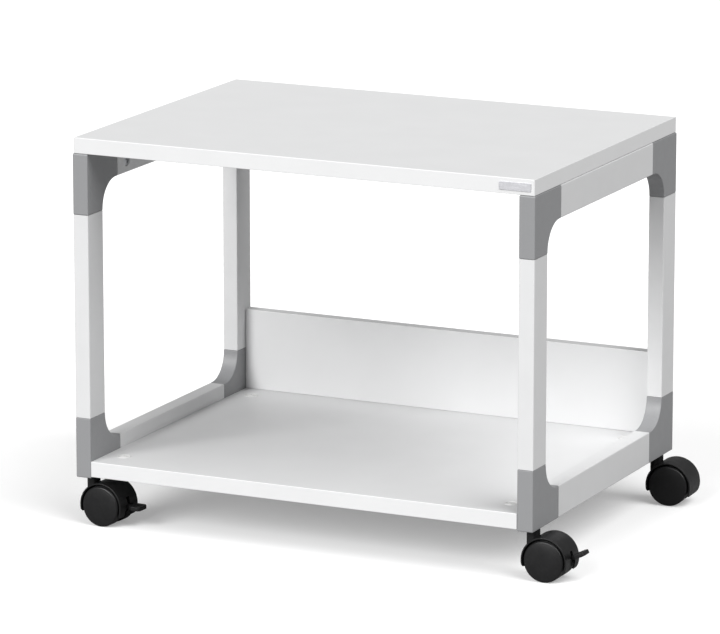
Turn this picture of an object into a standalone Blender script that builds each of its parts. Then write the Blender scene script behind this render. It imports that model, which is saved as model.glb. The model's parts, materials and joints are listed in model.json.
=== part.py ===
"""Mobile printer stand: tube side frames with moulded corner connectors, a top board, a lower shelf
with a low back panel, and four twin-wheel swivel casters, the two front ones with a brake lever.

Metres, +Z up, floor at Z = 0, front towards -Y. Run with: blender --background --python part.py"""

import math

import bmesh
import bpy
from mathutils import Matrix, Vector

# Overall size
WIDTH = 0.600
DEPTH = 0.432
HEIGHT = 0.477
CASTER_HEIGHT = 0.060
GAP = 0.0003

# Boards
BOARD = 0.019
TOP_SETBACK = 0.001
PANEL_THICKNESS = 0.016
PANEL_HEIGHT = 0.103
SHELF_LIFT = 0.002
EDGE_ROUND = 0.0010

# Side frames
TUBE_WIDTH = 0.020
LEG_DEPTH = 0.038
RAIL_HEIGHT = 0.039
WALL = 0.0015
CONNECTOR_LEG = 0.074
CONNECTOR_RAIL = 0.076
FILLET = 0.034
SPIGOT = 0.030
SHORT_SPIGOT = 0.015
CONNECTOR_ROUND = 0.0012
TUBE_ROUND = 0.0012
TUBE_INNER_ROUND = 0.0005
SPIGOT_OVERLAP = 0.004

# Casters
AXIS_INSET = 0.026
WHEEL_RADIUS = 0.025
TRAIL = 0.0210
HALF_WIDTH = 0.0225
HOOD_HALF_WIDTH = 0.0200
HOOD_RADIUS = 0.0288
HOOD_WALL = 0.0018
FACE_DOME = 0.0016
SHOULDER = 0.0024
HUB_RING = 0.0060
BORE_COVER = 0.0032
WEB_HALF = 0.005
NECK_RADIUS = 0.0080
STEM_RADIUS = 0.005
STEM_DEPTH = 0.030
AXLE_RADIUS = 0.003
LEVER_PIVOT = 0.0415
LEVER_REACH = 0.0285
LEVER_HALF_WIDTH = 0.010
LEVER_THICKNESS = 0.005
LEVER_LIFT = math.radians(26.0)
LEVER_PLATE_FROM = 0.0125
LEVER_CORNER = 0.0045
LEVER_ARM_HALF = 0.0026
LEVER_EYE_RADIUS = 0.0028
PIN_RADIUS = 0.0015
PIN_HALF = 0.0048
PIN_BORE = PIN_RADIUS + GAP
SLOT_HALF = 0.0030
SLOT_LOW = 0.004
SLOT_HIGH = 0.0365
MOUTH_HALF = 0.0080
MOUTH_HIGH = 0.0275
HUB_RADIUS = 0.0085
STEM_FOOT = 0.0120
COLLAR = 0.0015
CLEAR = 0.004
HOOD_FROM = math.radians(-25.0)
HOOD_TO = math.radians(199.0)

# Each caster: side, end, heading of its trail in degrees, and its brake lever's lift, or None with no brake
CASTERS = {
    "front_left": (-1, -1, -4.0, 0.0),
    "front_right": (1, -1, 0.0, LEVER_LIFT),
    "rear_left": (-1, 1, 2.0, None),
    "rear_right": (1, 1, 3.0, None),
}

# Fasteners
FITTING_RADIUS = 0.0085
FITTING_DEPTH = 0.0120
SOCKET_RADIUS = 0.0022
BOLT_RADIUS = 0.0025
BOLT_ROOM = 0.0032
TOP_FITTING_RADIUS = 0.0072
TOP_FITTING_INSET = 0.100
TOP_FITTING_DROP = 0.0235
SHELF_FITTING_SIDE = 0.024
SHELF_FITTING_FRONT = 0.040
SHELF_FITTING_REAR = 0.048
LABEL_SIZE = (0.040, 0.0006, 0.010)
LABEL_INSET = 0.0045

# Places that follow from the sizes
FRONT = -DEPTH / 2
INNER = WIDTH / 2 - TUBE_WIDTH
FRAME_X = WIDTH / 2 - TUBE_WIDTH / 2
TOP_UNDERSIDE = HEIGHT - BOARD
FRAME_TOP = TOP_UNDERSIDE - GAP
SHELF_BOTTOM = CASTER_HEIGHT + SHELF_LIFT
SHELF_TOP = SHELF_BOTTOM + BOARD
AXIS_X = FRAME_X
AXIS_Y = DEPTH / 2 - AXIS_INSET

# The front right lever reaches furthest out, so the stand is set back by half of that reach, which puts
# the origin under the middle of the whole object.
LEVER_TIP = LEVER_PIVOT + LEVER_REACH * math.cos(LEVER_LIFT) + LEVER_THICKNESS / 2 * math.sin(LEVER_LIFT)
REACH = AXIS_X + LEVER_TIP
SET_BACK = -(REACH - WIDTH / 2) / 2

PAINTS = {
    "board": ((0.80, 0.80, 0.80), 0.45, 0.0),
    "frame_paint": ((0.80, 0.80, 0.80), 0.35, 0.0),
    "connector_grey": ((0.34, 0.345, 0.36), 0.50, 0.0),
    "caster_black": ((0.012, 0.012, 0.013), 0.38, 0.0),
    "zinc": ((0.62, 0.62, 0.64), 0.35, 1.0),
    "steel": ((0.56, 0.57, 0.58), 0.28, 1.0),
    "fitting_white": ((0.82, 0.82, 0.82), 0.35, 0.0),
    "label_silver": ((0.60, 0.60, 0.64), 0.35, 0.6),
}


def clear_scene():
    for obj in list(bpy.data.objects):
        bpy.data.objects.remove(obj, do_unlink=True)


def make_paints():
    """One Principled material for each entry of PAINTS."""
    made = {}
    for name, (colour, roughness, metallic) in PAINTS.items():
        paint = bpy.data.materials.new(name)
        paint.use_nodes = True
        shader = paint.node_tree.nodes["Principled BSDF"]
        shader.inputs["Base Color"].default_value = (*colour, 1.0)
        shader.inputs["Roughness"].default_value = roughness
        shader.inputs["Metallic"].default_value = metallic
        made[name] = paint
    return made


def make_object(name, bm, paint=None, parent=None, smooth=False):
    """An object that owns the bmesh. With no paint it is a cutter, hidden from renders."""
    bmesh.ops.recalc_face_normals(bm, faces=bm.faces)
    mesh = bpy.data.meshes.new(name)
    bm.to_mesh(mesh)
    bm.free()
    if smooth:
        mesh.shade_smooth()
        mesh.set_sharp_from_angle(angle=math.radians(35.0))
    obj = bpy.data.objects.new(name, mesh)
    bpy.context.scene.collection.objects.link(obj)
    obj.parent = parent
    if paint is None:
        obj.hide_render = True
        obj.display_type = "WIRE"
    else:
        mesh.materials.append(paint)
    return obj


def make_empty(name, location, parent=None, turn=0.0):
    empty = bpy.data.objects.new(name, None)
    empty.empty_display_size = 0.02
    empty.location = location
    empty.rotation_euler = (0.0, 0.0, turn)
    empty.parent = parent
    bpy.context.scene.collection.objects.link(empty)
    return empty


def add_box(bm, low, high):
    """A box between two corners."""
    low, high = Vector(low), Vector(high)
    made = bmesh.ops.create_cube(bm, size=1.0)
    size = Matrix.Diagonal((*(high - low), 1.0))
    bmesh.ops.transform(bm, matrix=Matrix.Translation((low + high) / 2) @ size, verts=made["verts"])


def add_rod(bm, start, end, radius, segments=16):
    """A cylinder from start to end."""
    start, end = Vector(start), Vector(end)
    along = end - start
    made = bmesh.ops.create_cone(
        bm, cap_ends=True, segments=segments, radius1=radius, radius2=radius, depth=along.length
    )
    turn = Vector((0.0, 0.0, 1.0)).rotation_difference(along).to_matrix().to_4x4()
    bmesh.ops.transform(bm, matrix=Matrix.Translation((start + end) / 2) @ turn, verts=made["verts"])


def add_prism(bm, outline, place, along):
    """A solid between an outline, whose points place turns into 3-D points, and its copy moved by the
    vector along."""
    face = bm.faces.new([bm.verts.new(place(u, v)) for u, v in outline])
    moved = bmesh.ops.extrude_face_region(bm, geom=[face])
    verts = [item for item in moved["geom"] if isinstance(item, bmesh.types.BMVert)]
    bmesh.ops.translate(bm, vec=along, verts=verts)


def add_turned(bm, profile, centre, axis, segments):
    """A closed profile of (distance along the axis, radius) turned once round the axis."""
    axis = Vector(axis)
    centre = Vector(centre)
    side = Vector((0.0, 0.0, 1.0)) if abs(axis.z) < 0.9 else Vector((1.0, 0.0, 0.0))
    verts = [bm.verts.new(centre + axis * along + side * radius) for along, radius in profile]
    edges = [bm.edges.new((verts[i], verts[(i + 1) % len(verts)])) for i in range(len(verts))]
    on_axis = [e for e in edges if all((v.co - centre).cross(axis).length < 1e-7 for v in e.verts)]
    for edge in on_axis:
        edges.remove(edge)
        bm.edges.remove(edge)
    bmesh.ops.spin(
        bm, geom=verts + edges, cent=centre, axis=axis, angle=math.tau, steps=segments, use_duplicate=False
    )
    bmesh.ops.remove_doubles(bm, verts=bm.verts, dist=1e-5)


def arc(centre, radius, start, end, steps):
    """Points on a circle from one angle to another, both included."""
    angles = [start + (end - start) * i / steps for i in range(steps + 1)]
    return [(centre[0] + radius * math.cos(a), centre[1] + radius * math.sin(a)) for a in angles]


def round_rectangle(half_u, half_v, radius, steps=3):
    """A rectangle about (0, 0) with rounded corners."""
    points = []
    for quarter, (su, sv) in enumerate(((1, 1), (-1, 1), (-1, -1), (1, -1))):
        centre = (su * (half_u - radius), sv * (half_v - radius))
        begin = quarter * math.pi / 2
        points += arc(centre, radius, begin, begin + math.pi / 2, steps)
    return points


def combine(obj, other, operation):
    modifier = obj.modifiers.new(operation.lower(), "BOOLEAN")
    modifier.operation = operation
    modifier.solver = "EXACT"
    modifier.object = other


def cut_with(obj, fill):
    """Takes away from obj what fill adds to a new bmesh."""
    bm = bmesh.new()
    fill(bm)
    combine(obj, make_object(obj.name + "_cutter", bm, parent=obj.parent), "DIFFERENCE")


def round_edges(obj, width, segments=1):
    bevel = obj.modifiers.new("round", "BEVEL")
    bevel.width = width
    bevel.segments = segments
    bevel.limit_method = "ANGLE"
    bevel.angle_limit = math.radians(40.0)


SIDES = {"left": -1, "right": 1}
ENDS = {"front": -1, "rear": 1}
TOP_FITTING_Y = DEPTH / 2 - TOP_FITTING_INSET
TOP_FITTING_Z = FRAME_TOP - TOP_FITTING_DROP
TOP_BOLT_X = INNER + 0.0065
SHELF_FITTING_X = INNER - SHELF_FITTING_SIDE
SHELF_FITTING_YS = {"front": FRONT + SHELF_FITTING_FRONT, "rear": DEPTH / 2 - SHELF_FITTING_REAR}
SHELF_BOLT_Z = SHELF_TOP - BOARD / 2
PANEL_TOP = SHELF_TOP + PANEL_HEIGHT


def add_top_bolt(bm, side, end, radius, low, high):
    x, y = side * TOP_BOLT_X, end * TOP_FITTING_Y
    add_rod(bm, (x, y, low), (x, y, high), radius, 12)


def add_shelf_bolt(bm, side, y, radius, inside, outside):
    add_rod(bm, (side * inside, y, SHELF_BOLT_Z), (side * outside, y, SHELF_BOLT_Z), radius, 12)


def make_tabletop(paints, stand):
    """The top board, with blind holes underneath for the bolts of the rails."""
    half_x, half_y = WIDTH / 2 - TOP_SETBACK, DEPTH / 2 - TOP_SETBACK
    bm = bmesh.new()
    add_box(bm, (-half_x, -half_y, TOP_UNDERSIDE), (half_x, half_y, HEIGHT))
    board = make_object("tabletop", bm, paints["board"], stand)
    round_edges(board, EDGE_ROUND)

    def holes(bm):
        for side in SIDES.values():
            for end in ENDS.values():
                add_top_bolt(bm, side, end, BOLT_RADIUS + GAP, TOP_UNDERSIDE - 0.002, TOP_UNDERSIDE + 0.0133)

    cut_with(board, holes)


def make_label(paints, stand):
    """A blank plate on the front edge of the top."""
    width, thickness, height = LABEL_SIZE
    right = WIDTH / 2 - TOP_SETBACK - LABEL_INSET
    back = FRONT + TOP_SETBACK - GAP
    middle = HEIGHT - BOARD / 2
    bm = bmesh.new()
    add_box(bm, (right - width, back - thickness, middle - height / 2), (right, back, middle + height / 2))
    make_object("label_plate", bm, paints["label_silver"], stand)


def make_shelf(paints, stand):
    """The lower board between the side frames, bored for its four fittings and their bolts."""
    half_x = INNER - GAP
    bm = bmesh.new()
    add_box(bm, (-half_x, FRONT, SHELF_BOTTOM), (half_x, DEPTH / 2, SHELF_TOP))
    shelf = make_object("lower_shelf", bm, paints["board"], stand)
    round_edges(shelf, EDGE_ROUND)

    def wells(bm):
        for side in SIDES.values():
            for y in SHELF_FITTING_YS.values():
                x = side * SHELF_FITTING_X
                low = SHELF_TOP - FITTING_DEPTH - GAP
                add_rod(bm, (x, y, low), (x, y, SHELF_TOP + 0.002), FITTING_RADIUS + GAP, 20)

    def bolt_holes(bm):
        for side in SIDES.values():
            for y in SHELF_FITTING_YS.values():
                add_shelf_bolt(bm, side, y, BOLT_RADIUS + GAP, SHELF_FITTING_X + 0.004, INNER + 0.004)

    cut_with(shelf, wells)
    cut_with(shelf, bolt_holes)


def make_back_panel(paints, stand):
    """The low upright panel that stands on the rear edge of the shelf, between the rear legs."""
    half_x = INNER - GAP
    bm = bmesh.new()
    add_box(bm, (-half_x, DEPTH / 2 - PANEL_THICKNESS, SHELF_TOP + GAP), (half_x, DEPTH / 2, PANEL_TOP))
    panel = make_object("back_panel", bm, paints["board"], stand)
    round_edges(panel, EDGE_ROUND)


def make_tube(name, centre, along, half_v, paint, stand):
    """A rectangular tube, open at both ends, centred on a point. Its section is TUBE_WIDTH across X."""
    along = Vector(along)
    second = Vector((0.0, 0.0, 1.0)) if abs(along.y) > 0 else Vector((0.0, 1.0, 0.0))
    corner = Vector(centre) - along / 2

    def place(u, v):
        return corner + Vector((u, 0.0, 0.0)) + second * v

    bm = bmesh.new()
    outer = round_rectangle(TUBE_WIDTH / 2, half_v, TUBE_ROUND)
    inner = round_rectangle(TUBE_WIDTH / 2 - WALL, half_v - WALL, TUBE_INNER_ROUND)
    rings = []
    for outline in (outer, inner):
        near = [bm.verts.new(place(u, v)) for u, v in outline]
        far = [bm.verts.new(v.co + along) for v in near]
        rings.append((near, far))
    (outer_near, outer_far), (inner_near, inner_far) = rings
    loop = (outer_near, outer_far, inner_far, inner_near, outer_near)
    count = len(outer)
    for i in range(count):
        j = (i + 1) % count
        for a, b in zip(loop, loop[1:]):
            bm.faces.new((a[i], a[j], b[j], b[i]))
    return make_object(name, bm, paint, stand, smooth=True)


def make_legs(paints, stand):
    low = CASTER_HEIGHT + CONNECTOR_LEG + GAP
    high = FRAME_TOP - CONNECTOR_LEG - GAP
    for side_name, side in SIDES.items():
        for end_name, end in ENDS.items():
            centre = (side * FRAME_X, end * (DEPTH / 2 - LEG_DEPTH / 2), (low + high) / 2)
            along = (0.0, 0.0, high - low)
            name = f"leg_{end_name}_{side_name}"
            make_tube(name, centre, along, LEG_DEPTH / 2, paints["frame_paint"], stand)


def make_rails(paints, stand):
    along = (0.0, DEPTH - 2 * CONNECTOR_RAIL - 2 * GAP, 0.0)
    half = RAIL_HEIGHT / 2
    for side_name, side in SIDES.items():
        centre = (side * FRAME_X, 0.0, CASTER_HEIGHT + half)
        make_tube(f"bottom_rail_{side_name}", centre, along, half, paints["frame_paint"], stand)
        centre = (side * FRAME_X, 0.0, FRAME_TOP - half)
        rail = make_tube(f"top_rail_{side_name}", centre, along, half, paints["frame_paint"], stand)
        cut_fitting_holes(rail, side)


def cut_fitting_holes(rail, side):
    """Round holes through the inner wall of a top rail, with a bolt hole through its top wall."""

    def holes(bm):
        for end in ENDS.values():
            y = end * TOP_FITTING_Y
            start = (side * (INNER - 0.003), y, TOP_FITTING_Z)
            add_rod(bm, start, (side * (INNER + 0.004), y, TOP_FITTING_Z), TOP_FITTING_RADIUS + 0.0010, 24)
            add_top_bolt(bm, side, end, BOLT_RADIUS + GAP, FRAME_TOP - 0.006, FRAME_TOP + 0.004)

    cut_with(rail, holes)


def connector_outline():
    """The side view of a bottom front connector, from its outer corner at (0, 0): along the rail, up its
    end, back along the rail's top to the fillet, round the fillet and up the leg."""
    centre = (LEG_DEPTH + FILLET, RAIL_HEIGHT + FILLET)
    fillet = arc(centre, FILLET, -math.pi / 2, -math.pi, 10)
    rail_end = [(CONNECTOR_RAIL, 0.0), (CONNECTOR_RAIL, RAIL_HEIGHT)]
    leg_end = [(LEG_DEPTH, CONNECTOR_LEG), (0.0, CONNECTOR_LEG)]
    return [(0.0, 0.0), *rail_end, *fillet, *leg_end]


def make_connectors(paints, stand):
    """Eight corner blocks. Each has a spigot that fills the leg's end and one that fills the rail's end,
    which is shorter at the top, where it stops before the cam.
    The bottom ones take a caster's stem and a bolt of the shelf."""
    for level_name, level in (("bottom", -1), ("top", 1)):
        for end_name, end in ENDS.items():
            for side_name, side in SIDES.items():
                name = f"{level_name}_connector_{end_name}_{side_name}"
                make_connector(name, side, end, level, paints, stand)


def make_connector(name, side, end, level, paints, stand):
    corner_z = CASTER_HEIGHT if level < 0 else FRAME_TOP

    def place(u, v):
        return Vector((side * (WIDTH / 2 - TUBE_WIDTH), end * (DEPTH / 2 - u), corner_z - level * v))

    bm = bmesh.new()
    add_prism(bm, connector_outline(), place, Vector((side * TUBE_WIDTH, 0.0, 0.0)))
    block = make_object(name, bm, paints["connector_grey"], stand, smooth=True)
    round_edges(block, CONNECTOR_ROUND)

    half_x = TUBE_WIDTH / 2 - WALL - GAP
    x = side * FRAME_X
    bm = bmesh.new()
    leg_half = LEG_DEPTH / 2 - WALL - GAP
    leg_y = end * (DEPTH / 2 - LEG_DEPTH / 2)
    leg_ends = sorted(corner_z - level * v for v in (CONNECTOR_LEG - SPIGOT_OVERLAP, CONNECTOR_LEG + SPIGOT))
    add_box(bm, (x - half_x, leg_y - leg_half, leg_ends[0]), (x + half_x, leg_y + leg_half, leg_ends[1]))
    rail_half = RAIL_HEIGHT / 2 - WALL - GAP
    rail_z = corner_z - level * RAIL_HEIGHT / 2
    rail_spigot = SPIGOT if level < 0 else SHORT_SPIGOT
    rail_span = (CONNECTOR_RAIL - SPIGOT_OVERLAP, CONNECTOR_RAIL + rail_spigot)
    rail_ends = sorted(end * (DEPTH / 2 - v) for v in rail_span)
    low = (x - half_x, rail_ends[0], rail_z - rail_half)
    add_box(bm, low, (x + half_x, rail_ends[1], rail_z + rail_half))
    combine(block, make_object(name + "_spigots", bm, parent=stand), "UNION")

    if level > 0:
        return

    def holes(bm):
        low, high = CASTER_HEIGHT - CLEAR, CASTER_HEIGHT + STEM_DEPTH + 0.0015
        add_rod(bm, (x, end * AXIS_Y, low), (x, end * AXIS_Y, high), STEM_RADIUS + GAP, 20)
        bolt_y = SHELF_FITTING_YS["front" if end < 0 else "rear"]
        add_shelf_bolt(bm, side, bolt_y, BOLT_RADIUS + GAP, INNER - 0.004, INNER + 0.0095)

    cut_with(block, holes)


def make_fittings(paints, stand):
    """The round cam fittings and their bolts: four hold the shelf and four hold the top."""
    for side_name, side in SIDES.items():
        for end_name, end in ENDS.items():
            place = f"{end_name}_{side_name}"
            make_shelf_fitting(place, side, SHELF_FITTING_YS[end_name], paints, stand)
            make_top_fitting(place, side, end, paints, stand)


def make_shelf_fitting(place, side, y, paints, stand):
    """A round housing let into the shelf, with a side opening that the bolt's head enters."""
    x = side * SHELF_FITTING_X
    bm = bmesh.new()
    profile = [
        (SHELF_TOP - FITTING_DEPTH, 0.0),
        (SHELF_TOP - FITTING_DEPTH, FITTING_RADIUS),
        (SHELF_TOP + 0.0002, FITTING_RADIUS),
        (SHELF_TOP + 0.0006, FITTING_RADIUS - 0.0008),
        (SHELF_TOP + 0.0006, 0.0),
    ]
    add_turned(bm, profile, (x, y, 0.0), (0.0, 0.0, 1.0), 20)
    fitting = make_object(f"shelf_fitting_{place}", bm, paints["fitting_white"], stand, smooth=True)
    inside, outside = SHELF_FITTING_X + 0.0010, SHELF_FITTING_X + 0.0120
    cut_with(fitting, lambda bm: add_shelf_bolt(bm, side, y, BOLT_ROOM, inside, outside))

    bm = bmesh.new()
    add_shelf_bolt(bm, side, y, BOLT_RADIUS, SHELF_FITTING_X + 0.0015, INNER + 0.0090)
    make_object(f"shelf_bolt_{place}", bm, paints["steel"], stand, smooth=True)


def make_top_fitting(place, side, end, paints, stand):
    """A cam inside the top rail, turned from the rail's inner face, and the bolt from it into the top."""
    y = end * TOP_FITTING_Y
    face = side * (INNER + 0.0004)
    bm = bmesh.new()
    back = face + side * FITTING_DEPTH
    add_rod(bm, (face, y, TOP_FITTING_Z), (back, y, TOP_FITTING_Z), TOP_FITTING_RADIUS, 24)
    cam = make_object(f"top_cam_{place}", bm, paints["zinc"], stand, smooth=True)

    def hollows(bm):
        start = (side * (INNER - 0.001), y, TOP_FITTING_Z)
        add_rod(bm, start, (side * (INNER + 0.0030), y, TOP_FITTING_Z), SOCKET_RADIUS, 6)
        add_top_bolt(bm, side, end, BOLT_ROOM, TOP_FITTING_Z + 0.0010, TOP_FITTING_Z + 0.010)

    cut_with(cam, hollows)
    bm = bmesh.new()
    add_top_bolt(bm, side, end, BOLT_RADIUS, TOP_FITTING_Z + 0.0015, TOP_UNDERSIDE + 0.0130)
    make_object(f"top_bolt_{place}", bm, paints["steel"], stand, smooth=True)


def wheel_profile():
    """Half of a wheel's section, (distance across, radius): the domed outer face, the tread, the inner
    face with its raised hub ring, and the blind bore for the axle."""
    dome = [(HALF_WIDTH, 0.0)]
    for step in (0.50, 0.78, 0.93):
        dome.append((HALF_WIDTH - FACE_DOME * step**5, WHEEL_RADIUS * step))
    hub_face = WEB_HALF + 0.0004
    inner_face = hub_face + 0.0008
    bore = AXLE_RADIUS + GAP
    return dome + [
        (HALF_WIDTH - SHOULDER, WHEEL_RADIUS),
        (inner_face + 0.0010, WHEEL_RADIUS),
        (inner_face, WHEEL_RADIUS - 0.0010),
        (inner_face, HUB_RING),
        (hub_face, HUB_RING),
        (hub_face, bore),
        (HALF_WIDTH - BORE_COVER, bore),
        (HALF_WIDTH - BORE_COVER, 0.0),
    ]


def make_wheel(name, side, axle, paints):
    bm = bmesh.new()
    add_turned(bm, wheel_profile(), (0.0, 0.0, 0.0), (0.0, float(side), 0.0), 28)
    wheel = make_object(name, bm, paints["caster_black"], None, smooth=True)
    wheel.parent = axle


def make_hood(name, swivel, paints):
    """The caster's body: a curved guard over both wheels, a web between them that carries the axle and
    forks round the brake lever, and the neck under the stem."""
    axle = Vector((TRAIL, 0.0, WHEEL_RADIUS))

    def place(u, v):
        return Vector((TRAIL + u, -HOOD_HALF_WIDTH, WHEEL_RADIUS + v))

    sector = arc((0.0, 0.0), HOOD_RADIUS, HOOD_FROM, HOOD_TO, 24)
    hub = arc((0.0, 0.0), HUB_RADIUS, HOOD_TO, HOOD_FROM + math.tau, 6)
    bm = bmesh.new()
    add_prism(bm, sector + hub, place, Vector((0.0, 2 * HOOD_HALF_WIDTH, 0.0)))
    hood = make_object(name, bm, paints["caster_black"], swivel, smooth=True)

    bm = bmesh.new()
    add_rod(bm, (0.0, 0.0, 0.036), (0.0, 0.0, CASTER_HEIGHT - COLLAR - GAP), NECK_RADIUS, 20)
    combine(hood, make_object(name + "_neck", bm, parent=swivel), "UNION")

    def hollows(bm):
        for side in (-1, 1):
            start = axle + Vector((0.0, side * WEB_HALF, 0.0))
            end = axle + Vector((0.0, side * (HALF_WIDTH + CLEAR), 0.0))
            add_rod(bm, start, end, HOOD_RADIUS - HOOD_WALL, 40)

    cut_with(hood, hollows)

    def bores(bm):
        add_rod(bm, (TRAIL, -0.008, WHEEL_RADIUS), (TRAIL, 0.008, WHEEL_RADIUS), AXLE_RADIUS + GAP, 16)
        low, high = CASTER_HEIGHT - STEM_FOOT - 0.0005, CASTER_HEIGHT + CLEAR
        add_rod(bm, (0.0, 0.0, low), (0.0, 0.0, high), STEM_RADIUS + GAP, 16)

    cut_with(hood, bores)
    return hood


def cut_lever_slot(hood):
    """The slot that the lever's arm swings in, its wider mouth through the guard, and the pin's hole."""

    outside = TRAIL + HOOD_RADIUS + CLEAR

    def slot(bm):
        add_box(bm, (LEVER_PIVOT - 0.0055, -SLOT_HALF, SLOT_LOW), (outside, SLOT_HALF, SLOT_HIGH))

    def mouth(bm):
        guard = TRAIL + HOOD_RADIUS - 0.006
        add_box(bm, (guard, -MOUTH_HALF, SLOT_LOW), (outside, MOUTH_HALF, MOUTH_HIGH))

    def pin_hole(bm):
        reach = WEB_HALF + 0.001
        add_rod(bm, (LEVER_PIVOT, -reach, WHEEL_RADIUS), (LEVER_PIVOT, reach, WHEEL_RADIUS), PIN_BORE, 12)

    cut_with(hood, slot)
    cut_with(hood, mouth)
    cut_with(hood, pin_hole)


def make_lever(name, swivel, lift, paints):
    """A brake lever: a flat arm with a round eye on the pivot pin, and a wide rounded tread plate."""
    pivot = make_empty(name + "_pivot", (LEVER_PIVOT, 0.0, WHEEL_RADIUS), swivel)
    pivot.rotation_euler = (0.0, -lift, 0.0)

    half = LEVER_THICKNESS / 2
    middle = (LEVER_PLATE_FROM + LEVER_REACH) / 2
    outline = round_rectangle((LEVER_REACH - LEVER_PLATE_FROM) / 2, LEVER_HALF_WIDTH, LEVER_CORNER, 4)
    bm = bmesh.new()
    add_prism(bm, outline, lambda u, v: Vector((middle + u, v, -half)), Vector((0.0, 0.0, 2 * half)))
    lever = make_object(name, bm, paints["caster_black"], pivot, smooth=True)
    round_edges(lever, 0.0008)

    eye = arc((0.0, 0.0), LEVER_EYE_RADIUS, math.radians(60.0), math.radians(300.0), 12)
    root = LEVER_PLATE_FROM + 0.003
    arm = [*eye, (root, -0.0018), (root, 0.0018)]
    bm = bmesh.new()
    along = Vector((0.0, 2 * LEVER_ARM_HALF, 0.0))
    add_prism(bm, arm, lambda u, v: Vector((u, -LEVER_ARM_HALF, v)), along)
    combine(lever, make_object(name + "_arm", bm, parent=pivot), "UNION")
    cut_with(lever, lambda bm: add_rod(bm, (0.0, -WEB_HALF, 0.0), (0.0, WEB_HALF, 0.0), PIN_BORE, 12))


def make_caster(place, paints, stand):
    """One caster: its stem turns in the connector's bore, and carries the hood, axle and wheels."""
    side, end, heading, lift = CASTERS[place]
    swivel = make_empty(f"{place}_swivel", (side * AXIS_X, end * AXIS_Y, 0.0), stand, math.radians(heading))

    stem_low, stem_high = CASTER_HEIGHT - STEM_FOOT, CASTER_HEIGHT + STEM_DEPTH
    collar_low, collar_high = CASTER_HEIGHT - COLLAR, CASTER_HEIGHT - GAP
    groove = stem_high - 0.006
    profile = [
        (stem_low, 0.0),
        (stem_low, STEM_RADIUS),
        (collar_low, STEM_RADIUS),
        (collar_low, NECK_RADIUS),
        (collar_high, NECK_RADIUS),
        (collar_high, STEM_RADIUS),
        (groove, STEM_RADIUS),
        (groove, STEM_RADIUS - 0.0008),
        (groove + 0.002, STEM_RADIUS - 0.0008),
        (groove + 0.002, STEM_RADIUS),
        (stem_high - 0.001, STEM_RADIUS),
        (stem_high, STEM_RADIUS - 0.001),
        (stem_high, 0.0),
    ]
    bm = bmesh.new()
    add_turned(bm, profile, (0.0, 0.0, 0.0), (0.0, 0.0, 1.0), 12)
    make_object(f"caster_{place}_stem", bm, paints["steel"], swivel, smooth=True)

    hood = make_hood(f"caster_{place}_hood", swivel, paints)
    axle_half = HALF_WIDTH - BORE_COVER - 0.0005
    bm = bmesh.new()
    add_rod(bm, (0.0, -axle_half, 0.0), (0.0, axle_half, 0.0), AXLE_RADIUS, 16)
    axle = make_object(f"caster_{place}_axle", bm, paints["steel"], swivel, smooth=True)
    axle.location = (TRAIL, 0.0, WHEEL_RADIUS)
    for wheel_side, wheel_name in ((-1, "wheel_a"), (1, "wheel_b")):
        hub = make_empty(f"{place}_{wheel_name}_hub", (TRAIL, 0.0, WHEEL_RADIUS), swivel)
        make_wheel(f"caster_{place}_{wheel_name}", wheel_side, hub, paints)

    if lift is not None:
        cut_lever_slot(hood)
        make_lever(f"brake_lever_{place}", swivel, lift, paints)
        bm = bmesh.new()
        add_rod(bm, (0.0, -PIN_HALF, 0.0), (0.0, PIN_HALF, 0.0), PIN_RADIUS, 12)
        pin = make_object(f"brake_pin_{place}", bm, paints["steel"], swivel, smooth=True)
        pin.location = (LEVER_PIVOT, 0.0, WHEEL_RADIUS)


def main():
    clear_scene()
    paints = make_paints()
    stand = make_empty("stand", (SET_BACK, 0.0, 0.0))
    make_tabletop(paints, stand)
    make_label(paints, stand)
    make_shelf(paints, stand)
    make_back_panel(paints, stand)
    make_legs(paints, stand)
    make_rails(paints, stand)
    make_connectors(paints, stand)
    make_fittings(paints, stand)
    for place in CASTERS:
        make_caster(place, paints, stand)


main()
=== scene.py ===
"""Looks of a mobile printer stand: its fine surfaces and finishes, with a floor, lights and a camera.

Metres, +Z up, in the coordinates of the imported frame. Each piece is a surface worked out with numpy that
stands for the frame's plain solid of the same name, and rides on the same body."""

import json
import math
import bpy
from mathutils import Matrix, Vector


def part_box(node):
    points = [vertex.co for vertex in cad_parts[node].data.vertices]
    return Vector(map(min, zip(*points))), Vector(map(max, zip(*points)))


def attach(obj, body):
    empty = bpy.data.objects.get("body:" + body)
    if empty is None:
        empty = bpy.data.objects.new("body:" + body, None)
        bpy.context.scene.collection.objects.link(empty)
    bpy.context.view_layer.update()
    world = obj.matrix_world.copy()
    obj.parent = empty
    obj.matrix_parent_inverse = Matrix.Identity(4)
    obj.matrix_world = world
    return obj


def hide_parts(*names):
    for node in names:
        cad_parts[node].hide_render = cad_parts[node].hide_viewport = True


bl_info = {
    "name": "Printer Stand Looks",
    "version": (1, 0, 0),
    "blender": (4, 5, 0),
    "location": "3D View > Sidebar > Stand",
    "description": "Builds the fine surfaces, finishes and stage of a mobile printer stand",
    "category": "Object",
}

import bmesh
import bpy
import numpy as np
from bpy.props import FloatProperty, FloatVectorProperty, IntProperty, PointerProperty
from bpy.types import Operator, Panel, PropertyGroup

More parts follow.
